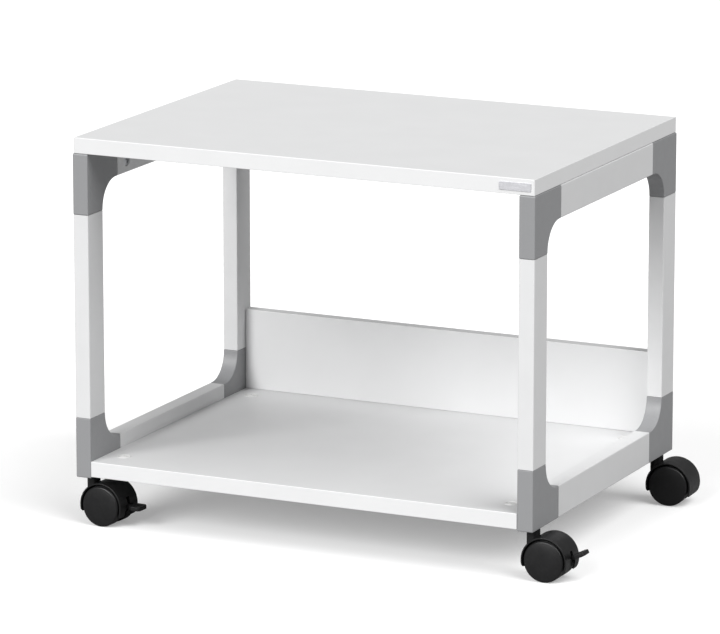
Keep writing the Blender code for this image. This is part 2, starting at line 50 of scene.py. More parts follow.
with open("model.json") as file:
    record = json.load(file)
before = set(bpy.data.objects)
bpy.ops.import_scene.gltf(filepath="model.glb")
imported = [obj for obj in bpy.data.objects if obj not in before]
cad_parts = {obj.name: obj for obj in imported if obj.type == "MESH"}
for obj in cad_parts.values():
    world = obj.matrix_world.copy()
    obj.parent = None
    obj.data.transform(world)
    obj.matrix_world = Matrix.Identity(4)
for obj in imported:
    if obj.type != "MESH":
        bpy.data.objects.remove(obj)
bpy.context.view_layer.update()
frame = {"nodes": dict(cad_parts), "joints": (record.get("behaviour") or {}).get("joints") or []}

SIDES = {"left": -1, "right": 1}
ENDS = {"front": -1, "rear": 1}
LEVELS = {"bottom": -1, "top": 1}
PLACES = [f"{end}_{side}" for end in ENDS for side in SIDES]
BRAKED = [place for place in PLACES if f"brake_lever_{place}" in frame["nodes"]]
JOINTS = {joint["name"]: joint for joint in frame["joints"]}
UPRIGHT = np.eye(3)
MM = 0.001
MERGE = 2e-6
CRISP = 0.05 * MM
STEM_BORE = 5.3 * MM
LEVER_BORE = 1.8 * MM


def corners(node):
    """Lowest and highest corner of a node of the frame, as arrays."""
    low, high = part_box(node)
    return np.array(low), np.array(high)


TOP_LOW, TOP_HIGH = corners("tabletop")
SHELF_LOW, SHELF_HIGH = corners("lower_shelf")
LEG_LOW, LEG_HIGH = corners("leg_front_left")
RAIL_LOW, RAIL_HIGH = corners("bottom_rail_left")
BLOCK_LOW, BLOCK_HIGH = corners("bottom_connector_front_left")
MIDDLE_X = (TOP_LOW[0] + TOP_HIGH[0]) / 2
GAP = SHELF_LOW[0] - BLOCK_HIGH[0]
TUBE_WIDTH = BLOCK_HIGH[0] - BLOCK_LOW[0]
LEG_DEPTH = LEG_HIGH[1] - LEG_LOW[1]
RAIL_HEIGHT = RAIL_HIGH[2] - RAIL_LOW[2]
HALF_DEPTH = -BLOCK_LOW[1]
INNER_X = MIDDLE_X - BLOCK_HIGH[0]
FRAME_BOTTOM = BLOCK_LOW[2]
FRAME_TOP = corners("top_connector_front_left")[1][2]
BLOCK_UP = LEG_LOW[2] - GAP - FRAME_BOTTOM
BLOCK_ALONG = HALF_DEPTH + RAIL_LOW[1] - GAP


def length(name, words, default):
    return FloatProperty(name=name, description=words, default=default, unit="LENGTH", precision=5)


def tint(name, words, default):
    return FloatVectorProperty(
        name=name, description=words, default=default, size=3, subtype="COLOR", min=0.0, max=1.0
    )


def rough(name, words, default):
    return FloatProperty(name=name, description=words, default=default, min=0.0, max=1.0, subtype="FACTOR")


class BoardSettings(PropertyGroup):
    """Sizes and finish of the top, the shelf and the back panel."""

    band: length("Edge band", "Thickness of the plastic strip on a board's edge", 0.8 * MM)
    edge_round: length("Edge radius", "Radius of a band's outer edges", 0.7 * MM)
    seam: length("Seam", "Width of the joint between a board and its bands", 0.06 * MM)
    colour: tint("Board colour", "Colour of the melamine face", (0.622, 0.624, 0.627))
    roughness: rough("Board roughness", "How matt the melamine face is", 0.46)


class FrameSettings(PropertyGroup):
    """Sizes and finishes of the tubes and the corner connectors."""

    wall: length("Tube wall", "Wall thickness of the tubes", 1.5 * MM)
    tube_round: length("Tube radius", "Radius of a tube's long edges", 1.3 * MM)
    block_round: length("Connector radius", "Radius of a connector's edges", 0.95 * MM)
    fillet: length("Fillet", "Radius of the curve between a connector's two arms", 34.0 * MM)
    spigot: length("Spigot", "How far a connector's tongue reaches into a tube", 30.0 * MM)
    short_spigot: length("Short spigot", "The same in the upper rails, in front of the cam", 15.0 * MM)
    paint: tint("Frame colour", "Colour of the powder coat", (0.620, 0.622, 0.626))
    plastic: tint("Connector colour", "Colour of the moulded corner connectors", (0.246, 0.248, 0.254))


class CasterSettings(PropertyGroup):
    """Sizes and finish of the casters and their brake levers."""

    dome: length("Dome", "How far a wheel's outer face bulges", 2.0 * MM)
    guard_wall: length("Guard wall", "Wall thickness of the hood over the wheels", 1.8 * MM)
    neck: length("Neck", "Radius of the neck between hood and connector", 8.0 * MM)
    guard_corner: length("Guard corner", "Radius of the hood's four corners", 5.0 * MM)
    web: length("Web", "Half thickness of the web between the wheels", 5.0 * MM)
    segments: IntProperty(name="Segments", description="Steps round a wheel", default=96, min=24, max=256)
    plastic: tint("Caster colour", "Colour of the hoods and hub caps", (0.0085, 0.0085, 0.0089))
    tread: tint("Tread colour", "Colour of the wheels' treads", (0.0050, 0.0050, 0.0053))


class StageSettings(PropertyGroup):
    """The camera, the floor and the lights."""

    eye: FloatVectorProperty(
        name="Eye",
        description="The camera's place",
        default=(MIDDLE_X + 2.59379, -5.51872, 1.64295),
        unit="LENGTH",
    )
    yaw: FloatProperty(
        name="Yaw",
        description="The camera's turn to the left",
        default=math.radians(25.3744),
        subtype="ANGLE",
    )
    pitch: FloatProperty(
        name="Pitch", description="How far it looks down", default=math.radians(12.9324), subtype="ANGLE"
    )
    lens: FloatProperty(name="Lens", description="Focal length in millimetres", default=258.18, min=1.0)
    floor: tint("Floor colour", "Colour of the plain floor", (0.74, 0.74, 0.74))
    glow: FloatProperty(name="Floor glow", description="Even glow of the floor", default=0.28, min=0.0)
    bounce: tint("Floor bounce", "Colour of the floor as it lights the stand", (0.30, 0.30, 0.30))
    sky: FloatProperty(name="Sky", description="Strength of the white surround", default=0.27, min=0.0)
    key: FloatProperty(name="Key light", description="Strength from the front left", default=1.0, min=0.0)
    side: FloatProperty(name="Side light", description="Strength from the right", default=0.86, min=0.0)


# Surfaces


def unit(vectors):
    return vectors / np.linalg.norm(vectors, axis=-1, keepdims=True)


def corner_arcs(path, radius, steps):
    """An arc for each corner of a closed path, as an array (corners, steps + 1, 2).

    With unit directions a and b from corner P to its neighbours and the angle t between them, the centre
    is P + r (a + b) / (|a + b| sin(t / 2)), and the arc turns evenly from the centre's foot on one edge to
    its foot on the other."""
    path = np.asarray(path, float)
    radius = np.broadcast_to(np.asarray(radius, float), len(path))[:, None]
    a = unit(np.roll(path, 1, 0) - path)
    b = unit(np.roll(path, -1, 0) - path)
    half = np.arccos(np.clip((a * b).sum(1, keepdims=True), -1, 1)) / 2
    half = np.minimum(half, math.pi / 2 - 1e-5)
    centre = path + unit(a + b + 1e-12) * radius / np.sin(half)
    first = path + a * radius / np.tan(half) - centre
    last = path + b * radius / np.tan(half) - centre
    turn = (math.pi - 2 * half)[:, None]
    share = np.linspace(0, 1, steps + 1)[None, :, None]
    arc = np.sin((1 - share) * turn) * first[:, None] + np.sin(share * turn) * last[:, None]
    return centre[:, None] + arc / np.sin(turn)


def rounded(path, radius, steps=6):
    """A closed path with arcs for corners."""
    return corner_arcs(path, radius, steps).reshape(-1, 2)


def softened(path, radius, steps=4):
    """An open path with arcs for its inner corners, and its two ends kept."""
    path = np.asarray(path, float)
    arcs = corner_arcs(path, radius, steps)[1:-1]
    return np.concatenate([path[:1], arcs.reshape(-1, 2), path[-1:]])


def rectangle(low_u, high_u, low_v, high_v):
    return [(low_u, low_v), (high_u, low_v), (high_u, high_v), (low_u, high_v)]


def moved_in(outline, distance):
    """A counter-clockwise outline moved inwards. A point moves by the sum of its two edges' unit normals
    over one plus their dot product, so that every edge moves by the same distance."""
    along = unit(np.roll(outline, -1, 0) - outline)
    normal = np.stack([-along[:, 1], along[:, 0]], -1)
    before = np.roll(normal, 1, 0)
    return outline + distance * (normal + before) / (1 + (normal * before).sum(1, keepdims=True))


def stacked(outline, insets, heights):
    """Rings (rings, points, 3): the outline moved in by each inset, at each height."""
    rings = []
    for inset, height in zip(insets, heights):
        rings.append(np.column_stack([moved_in(outline, inset), np.full(len(outline), height)]))
    return np.stack(rings)


def slab(outline, low, high, radius, steps=4):
    """A flat body with rounded edges. At an angle a from 0 to 90 degrees the outline is moved in by
    r (1 - sin a), at r (1 - cos a) above the low face, and the same below the high face."""
    turn = np.linspace(0, math.pi / 2, steps + 1)
    inset, rise = radius * (1 - np.sin(turn)), radius * (1 - np.cos(turn))
    heights = np.concatenate([low + rise, (high - rise)[::-1]])
    return skin(stacked(outline, np.concatenate([inset, inset[::-1]]), heights))


def turned(profile, segments=48):
    """A profile of (distance along, radius) carried round the third axis: at angle a a point is at
    (r cos a, r sin a, distance). Ends that are not on the axis get a flat face."""
    profile = np.asarray(profile, float)
    angle = np.linspace(0, math.tau, segments, endpoint=False)
    radius = np.maximum(profile[:, 1:2], 1e-5)
    across = np.broadcast_to(profile[:, :1], (len(profile), segments))
    return skin(np.stack([radius * np.cos(angle), radius * np.sin(angle), across], -1))


def skin(rings, loop=False):
    """Points and faces of a stack of closed rings: quads join each ring to the next. The end rings get one
    face each, or with loop the last ring is joined to the first."""
    count, around = rings.shape[:2]
    index = np.arange(count * around).reshape(count, around)
    near = index if loop else index[:-1]
    far = np.roll(index, -1, 0) if loop else index[1:]
    quads = np.stack([near, np.roll(near, -1, 1), np.roll(far, -1, 1), far], -1).reshape(-1, 4).tolist()
    caps = [] if loop else [index[0, ::-1].tolist(), index[-1].tolist()]
    return rings.reshape(-1, 3), quads + caps


def rod(low, high, radius, edge=0.15 * MM, segments=32):
    """A round bar along the third axis, with softened edges."""
    path = [(low, 0.0), (low, radius), (high, radius), (high, 0.0)]
    return turned(softened(path, edge, 3), segments)


def turned_to(shape, basis, origin=(0.0, 0.0, 0.0)):
    """The shape with its three axes laid along the rows of basis, from the origin."""
    points, faces = shape
    return np.asarray(origin) + points @ np.asarray(basis, float), faces


ALONG_X = np.array([(0.0, 1.0, 0.0), (0.0, 0.0, 1.0), (1.0, 0.0, 0.0)])
ALONG_Y = np.array([(0.0, 0.0, 1.0), (1.0, 0.0, 0.0), (0.0, 1.0, 0.0)])
ON_EDGE = np.array([(1.0, 0.0, 0.0), (0.0, 0.0, 1.0), (0.0, -1.0, 0.0)])


# Meshes and pieces


def new_mesh(shape, name="shape"):
    """A closed mesh of the shape with its faces turned outwards."""
    points, faces = shape
    mesh = bpy.data.meshes.new(name)
    mesh.from_pydata(points.tolist(), [], faces)
    turn_outwards(mesh)
    return mesh


def turn_outwards(mesh):
    bm = bmesh.new()
    bm.from_mesh(mesh)
    bmesh.ops.remove_doubles(bm, verts=bm.verts, dist=MERGE)
    bmesh.ops.recalc_face_normals(bm, faces=bm.faces)
    bm.to_mesh(mesh)
    bm.free()


def carved(mesh, shape, operation):
    """The mesh joined with the shape, or cut by it, by an exact Boolean."""
    holder = bpy.data.objects.new("holder", mesh)
    tool = bpy.data.objects.new("tool", new_mesh(shape))
    for obj in (holder, tool):
        bpy.context.scene.collection.objects.link(obj)
    change = holder.modifiers.new("change", "BOOLEAN")
    change.operation = operation
    change.solver = "EXACT"
    change.object = tool
    graph = bpy.context.evaluated_depsgraph_get()
    made = bpy.data.meshes.new_from_object(holder.evaluated_get(graph))
    for obj in (holder, tool):
        old = obj.data
        bpy.data.objects.remove(obj)
        bpy.data.meshes.remove(old)
    if not made.polygons:
        raise RuntimeError(f"{operation} left nothing")
    return made


def cut(mesh, *shapes):
    for shape in shapes:
        mesh = carved(mesh, shape, "DIFFERENCE")
    return mesh


def join(mesh, *shapes):
    for shape in shapes:
        mesh = carved(mesh, shape, "UNION")
    return mesh


def add_piece(name, mesh, finish, body, origin=(0.0, 0.0, 0.0), basis=UPRIGHT, replaces=True, sharp=35.0):
    """A piece from its own copy of the mesh, laid along the rows of basis from the origin, with smooth
    faces between sharp edges. It rides on the body, takes the finish and its slot, and stands for the
    frame's node of that name."""
    mesh = mesh.copy()
    mesh.name = name
    points = np.empty(len(mesh.vertices) * 3, np.float32)
    mesh.vertices.foreach_get("co", points)
    points = np.asarray(origin) + points.reshape(-1, 3) @ np.asarray(basis, float)
    mesh.vertices.foreach_set("co", points.astype(np.float32).ravel())
    if np.linalg.det(basis) < 0:
        mesh.flip_normals()
    mesh.update()
    mesh.shade_smooth()
    mesh.set_sharp_from_angle(angle=math.radians(sharp))
    materials, slot = finish
    mesh.materials.clear()
    for material in materials:
        mesh.materials.append(material)
    hidden = frame["nodes"].get(name) if replaces else None
    if hidden is not None:
        hidden.name = name + "_plain"
    obj = bpy.data.objects.new(name, mesh)
    bpy.context.scene.collection.objects.link(obj)
    even = obj.modifiers.new("even", "WEIGHTED_NORMAL")
    even.keep_sharp = True
    even.weight = 100
    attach(obj, body)
    if hidden is not None:
        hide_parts(name)
    return obj


# Finishes


def base_material(name, colour, roughness, metallic=0.0):
    """A material with its constants on the shader's own sockets, and an object-space coordinate."""
    material = bpy.data.materials.get(name)
    if material is not None:
        return material, None, None, None
    material = bpy.data.materials.new(name)
    material.use_nodes = True
    tree = material.node_tree
    shader = tree.nodes["Principled BSDF"]
    shader.inputs["Base Color"].default_value = (*colour, 1.0)
    shader.inputs["Roughness"].default_value = roughness
    shader.inputs["Metallic"].default_value = metallic
    place = tree.nodes.new("ShaderNodeTexCoord")
    return material, tree, shader, place.outputs["Object"]


def noise(tree, place, size, detail=2.0, stretch=None):
    """Noise whose features are about size across, drawn out along one axis by a stretch per axis."""
    if stretch is not None:
        scaling = tree.nodes.new("ShaderNodeMapping")
        scaling.inputs["Scale"].default_value = stretch
        tree.links.new(place, scaling.inputs["Vector"])
        place = scaling.outputs["Vector"]
    texture = tree.nodes.new("ShaderNodeTexNoise")
    texture.inputs["Scale"].default_value = 1.0 / size
    texture.inputs["Detail"].default_value = detail
    tree.links.new(place, texture.inputs["Vector"])
    return texture.outputs["Fac"]


def spread(tree, value, low, high, socket):
    """Carries a 0.3 to 0.7 noise to the range low to high, into the socket."""
    reach = tree.nodes.new("ShaderNodeMapRange")
    reach.inputs["From Min"].default_value = 0.3
    reach.inputs["From Max"].default_value = 0.7
    reach.inputs["To Min"].default_value = low
    reach.inputs["To Max"].default_value = high
    tree.links.new(value, reach.inputs["Value"])
    tree.links.new(reach.outputs["Result"], socket)


def vary(tree, shader, value, colour, amount):
    """The colour made darker and lighter by the amount."""
    mix = tree.nodes.new("ShaderNodeMix")
    mix.data_type = "RGBA"
    mix.inputs["A"].default_value = (*[c * (1 - amount) for c in colour], 1.0)
    mix.inputs["B"].default_value = (*[min(1.0, c * (1 + amount)) for c in colour], 1.0)
    spread(tree, value, 0.0, 1.0, mix.inputs["Factor"])
    tree.links.new(mix.outputs["Result"], shader.inputs["Base Color"])


def bump(tree, shader, heights):
    """Stacked bumps, each a (height, depth in metres)."""
    before = None
    for height, depth in heights:
        node = tree.nodes.new("ShaderNodeBump")
        node.inputs["Distance"].default_value = depth
        tree.links.new(height, node.inputs["Height"])
        if before is not None:
            tree.links.new(before, node.inputs["Normal"])
        before = node.outputs["Normal"]
    tree.links.new(before, shader.inputs["Normal"])


def grained(name, colour, roughness, cloud, gloss, relief, metallic=0.0, **constants):
    """A material with noise in its colour, its roughness and its relief. The cloud is (noise, share of the
    colour), the gloss (noise, low, high), and the relief a list of (noise, depth). A noise is its size
    and, where given, its detail and stretch. The constants go to the shader's sockets of those names."""
    material, tree, shader, place = base_material(name, colour, roughness, metallic)
    if tree is None:
        return material
    pattern, amount = cloud
    vary(tree, shader, noise(tree, place, *pattern), colour, amount)
    pattern, low, high = gloss
    spread(tree, noise(tree, place, *pattern), low, high, shader.inputs["Roughness"])
    bump(tree, shader, [(noise(tree, place, *pattern), depth) for pattern, depth in relief])
    for socket, value in constants.items():
        shader.inputs[socket.replace("_", " ")].default_value = value
    return material


def melamine(settings):
    """Light grey melamine: a fine pearl texture, and a barely clouded colour."""
    fleck, matt = (0.45 * MM, 1.0), settings.roughness
    relief = [((1.1 * MM,), 0.018 * MM), (fleck, 0.005 * MM)]
    gloss = (fleck, matt - 0.04, matt + 0.05)
    return grained("melamine", settings.colour, matt, ((60 * MM, 3.0), 0.012), gloss, relief)


def edging(settings):
    """The plastic strip on a board's edge: the same grey, smoother, with faint lines from its making."""
    colour = [c * 1.07 for c in settings.colour]
    lines = (0.5 * MM, 1.0, (0.04, 0.04, 1.0))
    return grained("edging", colour, 0.38, ((40 * MM,), 0.01), (lines, 0.34, 0.43), [(lines, 0.004 * MM)])


def powder_coat(settings):
    """Baked powder paint on steel tube: a soft orange-peel surface."""
    cloud, gloss, peel = ((30 * MM,), 0.012), ((0.6 * MM,), 0.32, 0.42), [((2.2 * MM,), 0.022 * MM)]
    coat = {"Coat_Weight": 0.15, "Coat_Roughness": 0.25}
    return grained("powder_coat", settings.paint, 0.36, cloud, gloss, peel, **coat)


def moulded_grey(settings):
    """Aluminium-grey moulded plastic: fine eroded grain with a faint fleck."""
    cloud, gloss, grain = ((0.9 * MM,), 0.045), ((12 * MM,), 0.42, 0.50), [((0.5 * MM, 3.0), 0.010 * MM)]
    return grained("moulded_grey", settings.plastic, 0.46, cloud, gloss, grain, Specular_IOR_Level=0.45)


def caster_plastic(settings):
    """Black glass-filled nylon with a fine satin grain."""
    cloud, gloss, grain = ((3 * MM, 3.0), 0.16), ((8 * MM, 3.0), 0.31, 0.42), [((0.35 * MM,), 0.008 * MM)]
    return grained("caster_plastic", settings.plastic, 0.36, cloud, gloss, grain, Specular_IOR_Level=0.30)


def caster_tread(settings):
    """The running surface: duller, with light scuffs along its length."""
    scuff = (1.6 * MM, 4.0)
    relief = [((0.5 * MM,), 0.015 * MM)]
    return grained("caster_tread", settings.tread, 0.52, (scuff, 0.35), (scuff, 0.44, 0.62), relief)


def bare_metal(name, colour, roughness, stretch):
    """Plated metal with fine drawn lines."""
    lines = (0.3 * MM, 2.0, stretch)
    cloud, gloss = ((2 * MM, 3.0), 0.06), (lines, roughness - 0.07, roughness + 0.10)
    return grained(name, colour, roughness, cloud, gloss, [(lines, 0.003 * MM)], metallic=1.0)


def fitting_plastic():
    """White nylon of the fitting housings."""
    cloud, gloss, relief = ((4 * MM,), 0.02), ((1.5 * MM,), 0.30, 0.40), [((0.5 * MM,), 0.006 * MM)]
    return grained("fitting_plastic", (0.63, 0.63, 0.625), 0.34, cloud, gloss, relief)


def finishes(scene):
    """Each finish: its materials and the record's slot."""
    frame_set, caster_set = scene.stand_frame, scene.stand_casters
    return {
        "board": ([melamine(scene.stand_boards)], "board"),
        "edging": ([edging(scene.stand_boards)], "board"),
        "tube": ([powder_coat(frame_set)], "frame_paint"),
        "connector": ([moulded_grey(frame_set)], "connector_grey"),
        "caster": ([caster_plastic(caster_set)], "caster_black"),
        "wheel": ([caster_plastic(caster_set), caster_tread(caster_set)], "caster_black"),
        "zinc": ([bare_metal("zinc_plate", (0.60, 0.61, 0.63), 0.36, (1.0, 0.2, 1.0))], "zinc"),
        "steel": ([bare_metal("bright_steel", (0.56, 0.57, 0.58), 0.26, (1.0, 1.0, 0.1))], "steel"),
        "fitting": ([fitting_plastic()], "fitting_white"),
        "label": ([bare_metal("brushed_label", (0.74, 0.74, 0.77), 0.42, (0.03, 1.0, 1.0))], "label_silver"),
    }


# Boards


def banded_board(name, low, high, thin, edges, settings, finish, holes=()):
    """A board and a strip on each listed edge. An edge is (axis, side), and thin is the board's own axis
    of thickness. The core gives way to the strips by their thickness and a seam."""
    low, high = low.copy(), high.copy()
    outer_low, outer_high = low.copy(), high.copy()
    for axis, side in edges.values():
        if side < 0:
            low[axis] += settings.band + settings.seam
        else:
            high[axis] -= settings.band + settings.seam
    core = new_mesh(block(low, high, 0.12 * MM))
    add_piece(name, cut(core, *holes), finish["board"], "stand")
    for edge_name, (axis, side) in edges.items():
        strip_low, strip_high = outer_low.copy(), outer_high.copy()
        for other, other_side in edges.values():
            if other > axis:
                continue
            if other < axis and other_side < 0:
                strip_low[other] += settings.band + settings.seam
            elif other < axis:
                strip_high[other] -= settings.band + settings.seam
        if side < 0:
            strip_high[axis] = strip_low[axis] + settings.band
        else:
            strip_low[axis] = strip_high[axis] - settings.band
        run = 3 - axis - thin
        mesh = new_mesh(strip(strip_low, strip_high, axis, side, thin, run, settings.edge_round))
        add_piece(f"{name}_band_{edge_name}", mesh, finish["edging"], "stand", replaces=False)


def block(low, high, radius, steps=3):
    """A box with rounded edges: its plan outline with arcs for corners, as a slab."""
    outline = rounded(rectangle(low[0], high[0], low[1], high[1]), 1.2 * radius, steps)
    return slab(outline, low[2], high[2], radius, steps)


def strip(low, high, axis, side, thin, run, radius):
    """An edge strip: its section across the axis and the board's thickness, rounded on the outer side,
    carried along the run."""
    outline = rectangle(0.0, high[axis] - low[axis], 0.0, high[thin] - low[thin])
    section = rounded(outline, [CRISP, radius, radius, CRISP], 5)
    basis = np.zeros((3, 3))
    basis[0, axis], basis[1, thin], basis[2, run] = side, 1.0, 1.0
    origin = low.copy()
    origin[axis] = low[axis] if side > 0 else high[axis]
    return turned_to(slab(section, 0.0, high[run] - low[run], CRISP, 2), basis, origin)


class STAND_OT_boards(Operator):
    """Make the top, the lower shelf and the back panel, each with its edge strips"""

    bl_idname = "stand.boards"
    bl_label = "Boards"

    def execute(self, context):
        settings, finish = context.scene.stand_boards, finishes(context.scene)
        around = {"left": (0, -1), "right": (0, 1), "front": (1, -1), "rear": (1, 1)}
        ends = {"front": (1, -1), "rear": (1, 1)}
        banded_board("tabletop", TOP_LOW, TOP_HIGH, 2, around, settings, finish, top_holes())
        banded_board("lower_shelf", SHELF_LOW, SHELF_HIGH, 2, ends, settings, finish, shelf_holes())
        low, high = corners("back_panel")
        banded_board("back_panel", low, high, 1, {"top": (2, 1)}, settings, finish)
        return {"FINISHED"}


def top_holes():
    """Blind holes in the underside of the top, one for each cam's bolt."""
    for place in PLACES:
        low, high = corners(f"top_bolt_{place}")
        centre = (low + high) / 2
        radius = (high[0] - low[0]) / 2 + GAP
        hole = rod(TOP_LOW[2] - MM, high[2] + GAP, radius, CRISP, 24)
        yield turned_to(hole, UPRIGHT, (*centre[:2], 0.0))


def shelf_holes():
    """A round well in the shelf for each fitting, and the bolt's hole from the shelf's end."""
    for place in PLACES:
        low, high = corners(f"shelf_fitting_{place}")
        centre, radius = (low + high) / 2, (high[1] - low[1]) / 2
        well = rod(low[2] - GAP, SHELF_HIGH[2] + 2 * MM, radius + 0.15 * MM, CRISP, 48)
        yield turned_to(well, UPRIGHT, (*centre[:2], 0.0))
        low, high = corners(f"shelf_bolt_{place}")
        middle, reach = (low + high) / 2, (high[2] - low[2]) / 2 + GAP
        bore = rod(low[0] - GAP, high[0] + GAP, reach, CRISP, 24)
        yield turned_to(bore, ALONG_X, (0.0, middle[1], middle[2]))


# Tubes


def tube(half_u, half_v, reach, settings):
    """A rectangular tube, open at both ends: the rounded outer section, softened at its ends, runs along
    the third axis and comes back as the inner section."""
    outer = rounded(rectangle(-half_u, half_u, -half_v, half_v), settings.tube_round)
    half_u, half_v = half_u - settings.wall, half_v - settings.wall
    inner = rounded(rectangle(-half_u, half_u, -half_v, half_v), 0.5 * MM)
    soft = 0.2 * MM
    less = (soft, 0.3 * soft, 0.0)
    along = (0.0, 0.3 * soft, soft)
    outside = stacked(outer, less + less[::-1], along + tuple(reach - value for value in along[::-1]))
    inside = stacked(inner, (0.0, 0.0), (reach, 0.0))
    return skin(np.concatenate([outside, inside]), loop=True)


class STAND_OT_tubes(Operator):
    """Make the four legs and the four rails of the side frames"""

    bl_idname = "stand.tubes"
    bl_label = "Legs and rails"

    def execute(self, context):
        settings, finish = context.scene.stand_frame, finishes(context.scene)
        for place in PLACES:
            low, high = corners(f"leg_{place}")
            half = (high - low) / 2
            mesh = new_mesh(tube(half[0], half[1], 2 * half[2], settings))
            add_piece(f"leg_{place}", mesh, finish["tube"], "stand", low + half * (1, 1, 0))
        for level in LEVELS:
            for side in SIDES:
                name = f"{level}_rail_{side}"
                low, high = corners(name)
                half = (high - low) / 2
                shape = tube(half[2], half[0], 2 * half[1], settings)
                mesh = new_mesh(turned_to(shape, ALONG_Y, low + half * (1, 0, 1)))
                if level == "top":
                    mesh = cut(mesh, *rail_holes(side))
                add_piece(name, mesh, finish["tube"], "stand")
        return {"FINISHED"}


def rail_holes(side):
    """The round openings for the cams in a rail's inner wall, and the bolt holes in its top."""
    for end in ENDS:
        low, high = corners(f"top_cam_{end}_{side}")
        centre, radius = (low + high) / 2, (high[2] - low[2]) / 2
        face = low[0] if side == "right" else high[0]
        hole = rod(-3 * MM, 3 * MM, radius + 0.6 * MM, CRISP, 48)
        yield turned_to(hole, ALONG_X, (face, centre[1], centre[2]))
        low, high = corners(f"top_bolt_{end}_{side}")
        centre, radius = (low + high) / 2, (high[0] - low[0]) / 2 + GAP
        hole = rod(FRAME_TOP - 4 * MM, FRAME_TOP + MM, radius, CRISP, 24)
        yield turned_to(hole, UPRIGHT, (centre[0], centre[1], 0.0))


# Connectors


def connector_mesh(level, end, settings):
    """A corner block in its own axes: from its outer corner along the rail, up the leg, and from its inner
    face outwards. Its side view is an L whose inner corner is a wide arc. A tongue leaves each arm for
    its tube, and a lower block is bored for a caster's stem and a bolt of the shelf."""
    crisp, outer, narrow = 1.1 * MM, 1.6 * MM, 0.98 * MM
    rail_arm = [(BLOCK_ALONG, 0), (BLOCK_ALONG, RAIL_HEIGHT)]
    path = [(0, 0), *rail_arm, (LEG_DEPTH, RAIL_HEIGHT), (LEG_DEPTH, BLOCK_UP), (0, BLOCK_UP)]
    outline = rounded(path, [outer, crisp, crisp, settings.fillet, narrow, crisp], 16)
    mesh = new_mesh(slab(outline, 0.0, TUBE_WIDTH, settings.block_round, 5))
    room = settings.wall + GAP
    rail_reach = settings.spigot if level == "bottom" else settings.short_spigot
    sink = 5 * MM
    leg_low = np.array([room, BLOCK_UP - sink, room])
    leg_high = np.array([LEG_DEPTH - room, BLOCK_UP + settings.spigot, TUBE_WIDTH - room])
    rail_low = np.array([BLOCK_ALONG - sink, room, room])
    rail_high = np.array([BLOCK_ALONG + rail_reach, RAIL_HEIGHT - room, TUBE_WIDTH - room])
    mesh = join(mesh, block(leg_low, leg_high, 0.5 * MM), block(rail_low, rail_high, 0.5 * MM))
    if level == "top":
        return mesh
    stem_low, stem_high = corners(f"caster_{end}_left_stem")
    stem = (stem_low + stem_high) / 2
    stem_y = HALF_DEPTH - ENDS[end] * stem[1]
    bore = rod(-MM, stem_high[2] - FRAME_BOTTOM + 1.5 * MM, STEM_BORE, CRISP, 40)
    bore = turned_to(bore, [(1, 0, 0), (0, 0, 1), (0, 1, 0)], (stem_y, 0.0, TUBE_WIDTH / 2))
    low, high = corners(f"shelf_bolt_{end}_left")
    bolt_y = HALF_DEPTH - ENDS[end] * (low[1] + high[1]) / 2
    bolt_z = (low[2] + high[2]) / 2 - FRAME_BOTTOM
    screw = rod(-MM, 9.5 * MM, (high[2] - low[2]) / 2 + GAP, CRISP, 24)
    screw = turned_to(screw, UPRIGHT, (bolt_y, bolt_z, 0.0))
    return cut(mesh, bore, screw)


class STAND_OT_connectors(Operator):
    """Make the eight moulded corner connectors"""

    bl_idname = "stand.connectors"
    bl_label = "Corner connectors"

    def execute(self, context):
        settings, finish = context.scene.stand_frame, finishes(context.scene)
        for level, up in LEVELS.items():
            for end, out in ENDS.items():
                mesh = connector_mesh(level, end, settings)
                for side, across in SIDES.items():
                    basis = np.array([(0, -out, 0), (0, 0, -up), (across, 0, 0)], float)
                    corner_z = FRAME_BOTTOM if level == "bottom" else FRAME_TOP
                    origin = (MIDDLE_X + across * INNER_X, out * HALF_DEPTH, corner_z)
                    name = f"{level}_connector_{end}_{side}"
                    add_piece(name, mesh, finish["connector"], "stand", origin, basis)
        return {"FINISHED"}


# Fittings, bolts and the label


def cross_slot(reach, half, depth):
    """Two crossed bars for a screwdriver, sunk from the face at zero."""
    bars = [rectangle(-reach, reach, -half, half), rectangle(-half, half, -reach, reach)]
    return [slab(rounded(bar, 0.25 * MM, 3), -depth, MM, 0.1 * MM, 2) for bar in bars]


def shelf_fitting_mesh(radius, depth):
    """A round housing: a flat flange with a soft edge, a dished ring, a raised centre and a cross slot."""
    path = [
        (-depth, 0.0),
        (-depth, radius),
        (0.0, radius),
        (0.0, radius - 1.3 * MM),
        (-0.5 * MM, radius - 1.8 * MM),
        (-0.5 * MM, 4.0 * MM),
        (-0.1 * MM, 3.6 * MM),
        (-0.1 * MM, 0.0),
    ]
    soft = [0.0, 0.4 * MM, 0.35 * MM, 0.2 * MM, 0.2 * MM, 0.15 * MM, 0.15 * MM, 0.0]
    return cut(new_mesh(turned(softened(path, soft), 64)), *cross_slot(2.6 * MM, 0.55 * MM, 1.6 * MM))


def crescent(inner, outer, start, end, depth):
    """A bent slot: a section of the ring between two radii from one angle to another, sunk to a depth."""
    angle = np.linspace(start, end, 25)
    arc = np.stack([np.cos(angle), np.sin(angle)], -1)
    outline = np.concatenate([outer * arc, inner * arc[::-1]])
    return slab(outline, -depth, MM, CRISP, 2)


